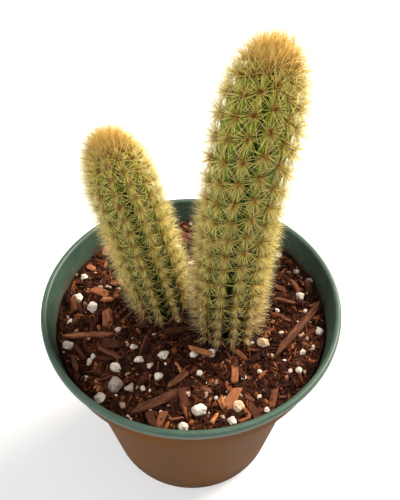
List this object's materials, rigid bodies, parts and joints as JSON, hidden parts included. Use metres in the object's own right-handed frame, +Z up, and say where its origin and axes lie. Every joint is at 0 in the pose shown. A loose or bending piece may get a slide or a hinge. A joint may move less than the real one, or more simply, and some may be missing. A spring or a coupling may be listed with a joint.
{
  "type": "potted columnar cactus",
  "caption": "Columnar cactus with ribbed, golden-spined stems standing in potting mix in a round tapered nursery pot with a rolled rim.",
  "frame": {"origin": "centre of the pot's flat underside, on the surface that the pot stands on", "axes": "+Z up along the pot's axis; -Y faces the viewer, with the taller stem on the right (+X) and the shorter, leaning stem on the left (-X)"},
  "size_m": [0.102, 0.102, 0.175],
  "materials": {
    "pot_plastic": "satin",
    "potting_mix": "matte",
    "cactus_flesh": "satin",
    "bark": "matte",
    "perlite": "matte"
  },
  "bodies": {
    "root": {"bark_chip_01": "bark", "bark_chip_02": "bark", "bark_chip_03": "bark", "bark_chip_04": "bark", "bark_chip_05": "bark", "bark_chip_06": "bark", "bark_chip_07": "bark", "bark_chip_08": "bark", "bark_chip_09": "bark", "bark_chip_10": "bark", "bark_chip_11": "bark", "bark_chip_12": "bark", "bark_chip_13": "bark", "bark_chip_14": "bark", "bark_chip_15": "bark", "bark_chip_16": "bark", "bark_chip_17": "bark", "bark_chip_18": "bark", "perlite_01": "perlite", "perlite_02": "perlite", "perlite_03": "perlite", "perlite_04": "perlite", "perlite_05": "perlite", "perlite_06": "perlite", "perlite_07": "perlite", "perlite_08": "perlite", "perlite_09": "perlite", "perlite_10": "perlite", "perlite_11": "perlite", "perlite_12": "perlite", "perlite_13": "perlite", "perlite_14": "perlite", "perlite_15": "perlite", "perlite_16": "perlite", "perlite_17": "perlite", "perlite_18": "perlite", "perlite_19": "perlite", "perlite_20": "perlite", "perlite_21": "perlite", "perlite_22": "perlite", "perlite_23": "perlite", "perlite_24": "perlite", "perlite_25": "perlite", "perlite_26": "perlite", "perlite_27": "perlite", "perlite_28": "perlite", "perlite_29": "perlite", "perlite_30": "perlite", "perlite_31": "perlite", "perlite_32": "perlite", "perlite_33": "perlite", "perlite_34": "perlite", "perlite_35": "perlite", "perlite_36": "perlite", "perlite_37": "perlite", "pot": "pot_plastic", "potting_mix": "potting_mix", "short_stem": "cactus_flesh", "tall_stem": "cactus_flesh"}
  },
  "joints": []
}
